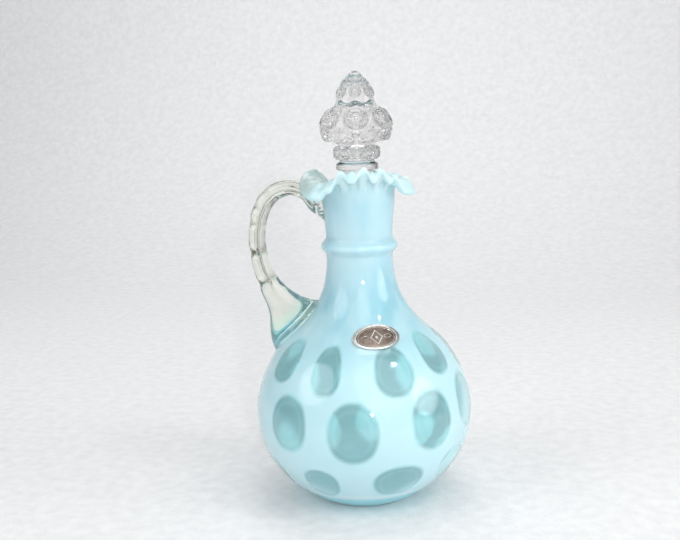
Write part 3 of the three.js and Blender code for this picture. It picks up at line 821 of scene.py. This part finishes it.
def eye_relief(dome, proud, ribs):
    """A bull's-eye on a dome: a raised ring, a ribbed dish in it and a hub in the middle."""
    def relief(share, around):
        base = dome * (1 - share ** 2)
        ring = proud * hill(share, **EYE_RING)
        dish = -proud * DISH_DEPTH * hill(share, **EYE_DISH)
        rib = proud * RIB_HEIGHT * np.cos(ribs * around) * hill(share, **EYE_RIB)
        hub = proud * HUB_HEIGHT * hill(share, **EYE_HUB)
        return base + ring + dish + rib + hub
    return relief


def oval_relief(proud):
    """A low dome with a ring near its edge and a dip inside the ring."""
    def relief(share, around):
        ring = hill(share, **OVAL_RING) - OVAL_DIP_DEPTH * hill(share, **OVAL_DIP)
        return proud * (1 - share ** 4) + proud * OVAL_RING_HEIGHT * ring
    return relief


def swell_band(points):
    """Swells the band under each bull's-eye above its middle and between them below it, and lets the
    valley under the tip rise and fall with the eyes."""
    turns = np.arctan2(points[:, 1], points[:, 0]) - math.radians(FIRST_EYE)
    up = (points[:, 2] - BAND_HEIGHT) / BAND_HALF_HEIGHT
    strength = BAND_LOBE * np.exp(-(np.abs(up) - BAND_LOBE_PLACE) ** 2 / BAND_LOBE_BREADTH)
    strength *= np.tanh(up * BAND_LOBE_TURN)
    radii = np.hypot(points[:, 0], points[:, 1])
    swell = strength * np.cos(EYE_COUNT * turns)
    points[:, :2] *= (1 + swell / np.maximum(radii, 1))[:, None]
    valley = hill(points[:, 2], VALLEY_HEIGHT, VALLEY_SPREAD)
    points[:, 2] += VALLEY_WAVE * np.cos(EYE_COUNT * turns) * valley


def stopper_outlines():
    """Outlines of the plug, shank, flange and bead ring, of the lobed band, and of the tip."""
    plug = SEAT_LENGTH + SEAT_GAP

    def plug_radius(depth):
        return SEAT_RADIUS - SEAT_GAP - SEAT_TAPER * depth

    turns = np.radians(np.linspace(*BAND_TURNS, BAND_STEPS + 1))
    band = np.stack([
        BAND_RADIUS * np.cos(turns) ** BAND_FULLNESS,
        BAND_HEIGHT + BAND_HALF_HEIGHT * np.abs(np.sin(turns)) ** BAND_FULLNESS * np.sign(turns),
    ], axis=1)
    tip = bend(
        (TIP_RADIUS, TIP_HEIGHT),
        (TIP_RADIUS, TIP_HEIGHT + TIP_STRAIGHT),
        (TIP_SHOULDER_RADIUS, TIP_HEIGHT + TIP_LENGTH - TIP_SHOULDER_DROP),
        (FILLET, TIP_HEIGHT + TIP_LENGTH),
        TIP_STEPS,
    )
    stem = rounded([
        (PLUG_END_RADIUS, -plug),
        (plug_radius(plug) - FILLET, -plug),
        (plug_radius(plug - FILLET), -plug + FILLET),
        (plug_radius(0), 0),
        (plug_radius(0) - FILLET, 2 * FILLET),
        (SHANK_RADIUS, SHANK_LENGTH / 2),
        (SHANK_RADIUS, SHANK_LENGTH - FILLET),
        (FLANGE_RADIUS, SHANK_LENGTH),
        (FLANGE_RADIUS, FLANGE_TOP - FILLET),
        (WAIST_RADIUS, FLANGE_TOP),
        (WAIST_RADIUS, FLANGE_TOP + 2 * FILLET),
        (BEAD_RING_RADIUS, BEAD_HEIGHT - FILLET),
        (BEAD_RING_RADIUS, BEAD_HEIGHT + FILLET),
        (WAIST_RADIUS - FILLET, (BEAD_HEIGHT + band[0][1]) / 2),
        band[0],
        band[1],
    ], STEM_ROUNDING)
    return stem, band, tip


def make_stopper():
    stem, band, tip = stopper_outlines()
    between = ((2 * TIP_RADIUS + band[-1][0]) / 3, (band[-1][1] + TIP_HEIGHT) / 2)
    last_of_band = band[-BAND_ROWS_IN_VALLEY]
    first_of_tip = tip[TIP_ROWS_IN_VALLEY - 1]
    corners = [last_of_band, band[-1], between, tip[2], first_of_tip]
    valley = rounded(corners, VALLEY_ROUNDING, VALLEY_STEPS)
    plain = np.searchsorted(stem[:, 1], FINE_FROM)
    band_kept = band[2:-BAND_ROWS_IN_VALLEY]
    finial = np.concatenate([stem[plain:], band_kept, valley, tip[TIP_ROWS_IN_VALLEY:]])
    rows = np.concatenate([evenly(stem[:plain + 1], STEM_PITCH)[:-1], evenly(finial, FINIAL_PITCH)])
    rings = turned(rows, STOPPER_SIDES)
    points = rings.reshape(-1, 3)
    # How much painted grey shade lies along the ornaments' outlines, from 0 to 1
    shade_lines = np.zeros(len(points))
    between_eyes = FIRST_EYE + 180 / EYE_COUNT
    swell_band(points)
    raise_eyes(
        points, shade_lines, eye_relief(BEAD_DOME, BEAD_PROUD, 0), BEAD_COUNT, FIRST_EYE,
        radius=BEAD_RING_RADIUS, height=BEAD_HEIGHT, tilt=0,
        half_width=BEAD_RADIUS, half_height=BEAD_RADIUS,
    )
    raise_eyes(
        points, shade_lines, eye_relief(BAND_EYE_DOME, BAND_EYE_PROUD, BAND_EYE_RIBS), EYE_COUNT, FIRST_EYE,
        radius=BAND_RADIUS - BAND_EYE_SUNK, height=BAND_HEIGHT + BAND_EYE_RISE, tilt=BAND_EYE_TILT,
        half_width=BAND_EYE_RADIUS, half_height=BAND_EYE_RADIUS - BAND_EYE_SUNK / 2,
    )
    raise_eyes(
        points, shade_lines, oval_relief(OVAL_PROUD), EYE_COUNT, between_eyes,
        radius=BAND_RADIUS, height=BAND_HEIGHT - OVAL_DROP, tilt=OVAL_TILT,
        half_width=OVAL_HALF_WIDTH, half_height=OVAL_HALF_HEIGHT,
    )
    raise_eyes(
        points, shade_lines, eye_relief(TIP_EYE_DOME, TIP_EYE_PROUD, TIP_EYE_RIBS), EYE_COUNT, FIRST_EYE,
        radius=np.interp(TIP_EYE_HEIGHT, tip[:, 1], tip[:, 0]) - TIP_EYE_SUNK,
        height=TIP_EYE_HEIGHT, tilt=TIP_EYE_TILT,
        half_width=TIP_EYE_RADIUS, half_height=TIP_EYE_RADIUS,
    )
    raise_eyes(
        points, shade_lines, eye_relief(TOP_EYE_DOME, TOP_EYE_PROUD, 0), EYE_COUNT, between_eyes,
        radius=np.interp(TOP_EYE_HEIGHT, tip[:, 1], tip[:, 0]) - TOP_EYE_SUNK,
        height=TOP_EYE_HEIGHT, tilt=TOP_EYE_TILT,
        half_width=TOP_EYE_RADIUS, half_height=TOP_EYE_RADIUS,
    )
    rings = points.reshape(rings.shape) + (0, 0, SEAT_TOP)
    first = (0, 0, SEAT_TOP - SEAT_LENGTH - SEAT_GAP)
    last = (0, 0, SEAT_TOP + TIP_HEIGHT + TIP_LENGTH + FILLET / 4)
    piece = skin("pressed_stopper", rings, first, last)
    add_attribute(piece, "shade_lines", np.concatenate([shade_lines, [0, 0]]))
    return piece


# Label
def meridian_point(outline, normals, height, distance, gap):
    """The point (radius, height) at a distance up the meridian from a height, a gap off the outline."""
    steps = np.linalg.norm(np.diff(outline, axis=0), axis=1)
    along = np.concatenate([[0], np.cumsum(steps)])
    here = np.interp(height, outline[:, 1], along)
    lifted = outline + normals * gap
    return np.stack([np.interp(here + distance, along, lifted[:, i]) for i in (0, 1)], axis=-1)


def label_relief(u, v):
    """Height of the foil's embossing in millimetres, and how silver it is, at places on the oval."""
    share = np.hypot(u / (LABEL_LENGTH / 2), v / (LABEL_WIDTH / 2))
    border = smoothstep(*FOIL_BORDER, share)
    line = hill(share, FOIL_LINE_PLACE, FOIL_LINE_SPREAD)
    lozenge = np.abs(np.abs(u) / LOZENGE[0] + np.abs(v) / LOZENGE[1] - 1)
    motif = 1 - smoothstep(*LOZENGE_LINE, lozenge)
    hub = 1 - smoothstep(*HUB_EDGE, np.hypot(u, v))
    from_leaf = np.abs(np.abs(v) - LEAF_RISE * hill(np.abs(u), LEAF_PLACE, LEAF_SPREAD))
    leaf = (1 - smoothstep(0, LEAF_LINE, from_leaf)) * (np.abs(u) > LEAF_FROM) * (np.abs(u) < LEAF_TO)
    raised = np.maximum.reduce([border, line, motif, hub, leaf])
    return FOIL_RELIEF * raised, raised


def make_label():
    outline = bulb_outline()
    normals = outline_normals(outline)
    shares = np.concatenate([
        np.linspace(LABEL_FIRST_SHARE, 1, LABEL_FRONT_ROWS),
        np.linspace(1, LABEL_FIRST_SHARE, LABEL_BACK_ROWS),
    ])
    centre_radius = np.interp(LABEL_HEIGHT, outline[:, 1], outline[:, 0])
    angle = -np.arange(LABEL_SIDES) * 2 * np.pi / LABEL_SIDES
    rings = []
    silver = []
    for row, share in enumerate(shares):
        u = LABEL_LENGTH / 2 * share * np.cos(angle)
        v = LABEL_WIDTH / 2 * share * np.sin(angle)
        level = u * math.cos(LABEL_TILT) - v * math.sin(LABEL_TILT)
        rise = u * math.sin(LABEL_TILT) + v * math.cos(LABEL_TILT)
        relief, bright = label_relief(u, v)
        gap = np.full(LABEL_SIDES, FOIL_LIFT)
        if row < LABEL_FRONT_ROWS:
            gap = FOIL_LIFT + FOIL_THICKNESS + relief
        place = np.array([
            meridian_point(outline, normals, LABEL_HEIGHT, rise[i], gap[i]) for i in range(LABEL_SIDES)
        ])
        turn = math.radians(LABEL_ANGLE) + level / centre_radius
        rings.append(np.stack([place[:, 0] * np.cos(turn), place[:, 0] * np.sin(turn), place[:, 1]], 1))
        silver.append(bright)
    rings = np.array(rings)
    piece = skin("embossed_label", rings, rings[0].mean(axis=0), rings[-1].mean(axis=0))
    add_attribute(piece, "silver", np.concatenate([np.concatenate(silver), [0, 0]]))
    return piece


# Nodes of the materials
def new_material(name):
    material = bpy.data.materials.new(name)
    material.use_nodes = True
    tree = material.node_tree
    return material, tree, tree.nodes["Principled BSDF"]


def add(tree, kind, **settings):
    """A node with its settings: inputs by their name, with _ for a space, and properties by theirs."""
    node = tree.nodes.new(kind)
    for key, value in settings.items():
        if hasattr(node, key):
            setattr(node, key, value)
        else:
            node.inputs[key.replace("_", " ")].default_value = value
    return node


def attribute(tree, name):
    """What a mesh holds at each point under a name."""
    return add(tree, "ShaderNodeAttribute", attribute_name=name).outputs["Fac"]


def object_height(tree):
    """Height above the base, in metres."""
    where = add(tree, "ShaderNodeTexCoord")
    split = add(tree, "ShaderNodeSeparateXYZ")
    tree.links.new(where.outputs["Object"], split.inputs["Vector"])
    return split.outputs["Z"]


def noise(tree, scale, detail=2.0, stretch=(1, 1, 1)):
    """A cloudy value from 0 to 1 through the whole object, in its own coordinates."""
    where = add(tree, "ShaderNodeTexCoord")
    placed = add(tree, "ShaderNodeMapping", Scale=stretch)
    texture = add(tree, "ShaderNodeTexNoise", Scale=scale, Detail=detail)
    tree.links.new(where.outputs["Object"], placed.inputs["Vector"])
    tree.links.new(placed.outputs["Vector"], texture.inputs["Vector"])
    return texture.outputs["Fac"]


def ramp(tree, value, stops):
    """A colour by a value, from stops of (place, colour)."""
    node = add(tree, "ShaderNodeValToRGB")
    elements = node.color_ramp.elements
    while len(elements) < len(stops):
        elements.new(0.5)
    for element, (place, colour) in zip(elements, stops):
        element.position = place
        element.color = (*colour, 1)
    tree.links.new(value, node.inputs["Fac"])
    return node.outputs["Color"]


def mix(tree, share, first, second):
    """A mix of two colours, each of them a socket or three numbers, by a socket."""
    node = add(tree, "ShaderNodeMix", data_type="RGBA")
    tree.links.new(share, node.inputs["Factor"])
    for socket, value in ((node.inputs[6], first), (node.inputs[7], second)):
        if isinstance(value, tuple):
            socket.default_value = (*value, 1)
        else:
            tree.links.new(value, socket)
    return node.outputs[2]


def map_range(tree, value, low, high):
    """A value from 0 to 1 turned into one between two numbers."""
    node = add(tree, "ShaderNodeMapRange", To_Min=low, To_Max=high)
    tree.links.new(value, node.inputs["Value"])
    return node.outputs["Result"]


def calculate(tree, operation, *values):
    """The result of a Math node on sockets and numbers."""
    node = add(tree, "ShaderNodeMath", operation=operation)
    for socket, value in zip(node.inputs, values):
        if isinstance(value, (int, float)):
            socket.default_value = value
        else:
            tree.links.new(value, socket)
    return node.outputs[0]


def wavy(tree, shader, scale, depth):
    """A bump of soft waves, depth in metres."""
    bump = add(tree, "ShaderNodeBump", Strength=1.0, Distance=depth)
    tree.links.new(noise(tree, scale), bump.inputs["Height"])
    tree.links.new(bump.outputs["Normal"], shader.inputs["Normal"])


# Materials
def opal_colour(tree, window, lobe):
    """Bands by height, soft clouds and streaks, the paler inside, the foot, the lobe and the dots."""
    level = add(tree, "ShaderNodeMapRange", From_Max=BOTTLE_TOP)
    tree.links.new(object_height(tree), level.inputs["Value"])
    level = level.outputs["Result"]
    opal = ramp(tree, level, OPAL_BANDS)
    cloud = map_range(tree, noise(tree, CLOUD_SCALE), 0, CLOUD_SHARE)
    opal = mix(tree, cloud, opal, OPAL_CLOUD)
    streak = ramp(tree, noise(tree, STREAK_SCALE, stretch=STREAK_STRETCH), STREAK_BANDS)
    streak = mix(tree, ramp(tree, level, STREAK_HEIGHTS), BLACK, streak)
    opal = mix(tree, streak, opal, OPAL_STREAK)
    opal = mix(tree, attribute(tree, "inside"), opal, OPAL_INSIDE)
    opal = mix(tree, lobe, opal, LOBE_TINT)
    opal = mix(tree, ramp(tree, level, FOOT_LINE_HEIGHTS), opal, OPAL_EDGE)
    opal = mix(tree, ramp(tree, level, FOOT_HEIGHTS), opal, BASE_BLUE)
    return mix(tree, window, opal, CLEAR_BLUE)


def opal_material():
    """Opal glass, clear in its dots. Seen from within the wall it is all clear, so that the inner skin
    of the glass doesn't hide the outer one."""
    material, tree, shader = new_material("opal_glass")
    window = attribute(tree, "dot")
    lobe = attribute(tree, "lobe")
    tree.links.new(opal_colour(tree, window, lobe), shader.inputs["Base Color"])
    thin = calculate(tree, "MAXIMUM", window, map_range(tree, lobe, 0, LOBE_CLEARNESS))
    behind = add(tree, "ShaderNodeNewGeometry").outputs["Backfacing"]
    clearness = calculate(tree, "MAXIMUM", map_range(tree, thin, *OPAL_CLEARNESS), behind)
    tree.links.new(clearness, shader.inputs["Transmission Weight"])
    polish = map_range(tree, noise(tree, OPAL_POLISH_SCALE), *OPAL_ROUGHNESS)
    tree.links.new(polish, shader.inputs["Roughness"])
    tree.links.new(map_range(tree, behind, OPAL_SCATTER, 0), shader.inputs["Subsurface Weight"])
    shader.inputs["Subsurface Radius"].default_value = SCATTER_RADIUS
    shader.inputs["Subsurface Scale"].default_value = SCATTER_SCALE
    shader.inputs["IOR"].default_value = GLASS_IOR
    wavy(tree, shader, **OPAL_WAVES)
    return material


def clear_material(name, colours, painted_tones, ground_below=None):
    """Clear glass between two colours, with painted shade and painted light where the mesh says, and
    ground below a height.
    """
    material, tree, shader = new_material(name)
    colour = mix(tree, noise(tree, CLEAR_TINT_SCALE), *colours)
    # Painted shade and painted light, by the mesh's attributes
    for attribute_name, painted_tone in painted_tones:
        colour = mix(tree, attribute(tree, attribute_name), colour, painted_tone)
    tree.links.new(colour, shader.inputs["Base Color"])
    polish = map_range(tree, noise(tree, CLEAR_POLISH_SCALE), *CLEAR_ROUGHNESS)
    if ground_below is not None:
        ground = calculate(tree, "LESS_THAN", object_height(tree), ground_below)
        polish = calculate(tree, "MULTIPLY_ADD", ground, GROUND_ROUGHNESS, polish)
    tree.links.new(polish, shader.inputs["Roughness"])
    shader.inputs["Transmission Weight"].default_value = 1
    shader.inputs["IOR"].default_value = GLASS_IOR
    wavy(tree, shader, **CLEAR_WAVES)
    return material


def stopper_material():
    """Clear glass, ground on the plug, with a painted grey shade along the pressed outlines of its
    ornaments.
    """
    painted_tones = [("shade_lines", STOPPER_SHADE)]
    return clear_material("stopper_glass", STOPPER_COLOURS, painted_tones, ground_below=SEAT_TOP * MM)


def handle_material():
    """Clear glass, faintly yellow, with a painted grey shade in its crimps and grooves, and a painted
    mint highlight and a painted teal refraction of the bottle at its foot.
    """
    painted_tones = [("shade_lines", HANDLE_SHADE), ("mint_highlight", HANDLE_MINT_HIGHLIGHT), ("teal_refraction", HANDLE_TEAL_REFRACTION)]
    return clear_material("handle_glass", HANDLE_COLOURS, painted_tones)


def foil_material():
    material, tree, shader = new_material("label_foil")
    bronze = ramp(tree, noise(tree, BRONZE_SCALE), BRONZE_BANDS)
    silver = ramp(tree, noise(tree, SILVER_SCALE), SILVER_BANDS)
    tree.links.new(mix(tree, attribute(tree, "silver"), bronze, silver), shader.inputs["Base Color"])
    polish = map_range(tree, noise(tree, FOIL_POLISH_SCALE), *FOIL_ROUGHNESS)
    tree.links.new(polish, shader.inputs["Roughness"])
    shader.inputs["Metallic"].default_value = 1
    wavy(tree, shader, **FOIL_WAVES)
    return material


def felt_material():
    material, tree, shader = new_material("felt")
    cloth = ramp(tree, noise(tree, FELT_SCALE, FELT_DETAIL), FELT_BANDS)
    tree.links.new(cloth, shader.inputs["Base Color"])
    shader.inputs["Roughness"].default_value = FELT_ROUGHNESS
    shader.inputs["Specular IOR Level"].default_value = FELT_GLOSS
    wavy(tree, shader, **FELT_WAVES)
    return material


def dress(piece, node, body, material):
    piece.data.materials.append(material)
    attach(piece, body)
    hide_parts(node)


bottle = make_bottle()
dress(bottle, "cruet_body", "cruet", opal_material())
handle = make_handle()
dress(handle, "applied_handle", "cruet", handle_material())
stopper = make_stopper()
dress(stopper, "stopper", "stopper", stopper_material())
label = make_label()
dress(label, "foil_label", "cruet", foil_material())


# Studio: a pale felt floor that rises behind the cruet, open in front and at the sides
def make_studio():
    profile = np.concatenate([FLOOR_FLAT, bend(*FLOOR_RISE, FLOOR_RISE_STEPS), [BACKDROP_TOP]])
    profile = profile - (0, FLOOR_DROP)
    across = np.linspace(-FLOOR_HALF_WIDTH, FLOOR_HALF_WIDTH, FLOOR_COLUMNS)
    points = [(x, y, z) for y, z in profile * MM for x in across * MM]
    faces = []
    for row in range(len(profile) - 1):
        for column in range(FLOOR_COLUMNS - 1):
            i = row * FLOOR_COLUMNS + column
            faces.append([i, i + 1, i + FLOOR_COLUMNS + 1, i + FLOOR_COLUMNS])
    mesh = bpy.data.meshes.new("floor")
    mesh.from_pydata(points, [], faces)
    mesh.validate()
    for polygon in mesh.polygons:
        polygon.use_smooth = True
    floor = bpy.data.objects.new("floor", mesh)
    bpy.context.scene.collection.objects.link(floor)
    mesh.materials.append(felt_material())


def add_light(name, place, target, size, power, beam):
    light = bpy.data.lights.new(name, "AREA")
    light.shape = "DISK"
    light.size = size
    light.energy = power
    light.spread = math.radians(beam)
    lamp = bpy.data.objects.new(name, light)
    bpy.context.scene.collection.objects.link(lamp)
    lamp.location = place
    direction = Vector(target) - Vector(place)
    lamp.rotation_euler = direction.to_track_quat("-Z", "Y").to_euler()


def make_world():
    world = bpy.data.worlds.new("studio")
    bpy.context.scene.world = world
    world.use_nodes = True
    background = world.node_tree.nodes["Background"]
    background.inputs["Color"].default_value = (*WORLD_COLOUR, 1)
    background.inputs["Strength"].default_value = WORLD_STRENGTH


def make_camera():
    data = bpy.data.cameras.new("camera")
    data.sensor_width = CAMERA_SENSOR
    data.lens = CAMERA_LENS
    data.shift_x = CAMERA_SHIFT
    camera = bpy.data.objects.new("camera", data)
    bpy.context.scene.collection.objects.link(camera)
    turn = (Matrix.Rotation(math.radians(CAMERA_TURN), 4, "Z")
            @ Matrix.Rotation(math.radians(90 - CAMERA_PITCH), 4, "X")
            @ Matrix.Rotation(math.radians(-CAMERA_ROLL), 4, "Z"))
    camera.matrix_world = Matrix.Translation(CAMERA_AT) @ turn
    bpy.context.scene.camera = camera


make_studio()
make_world()
make_camera()
for lamp in LAMPS:
    add_light(*lamp)
bpy.context.scene.view_settings.view_transform = "Standard"
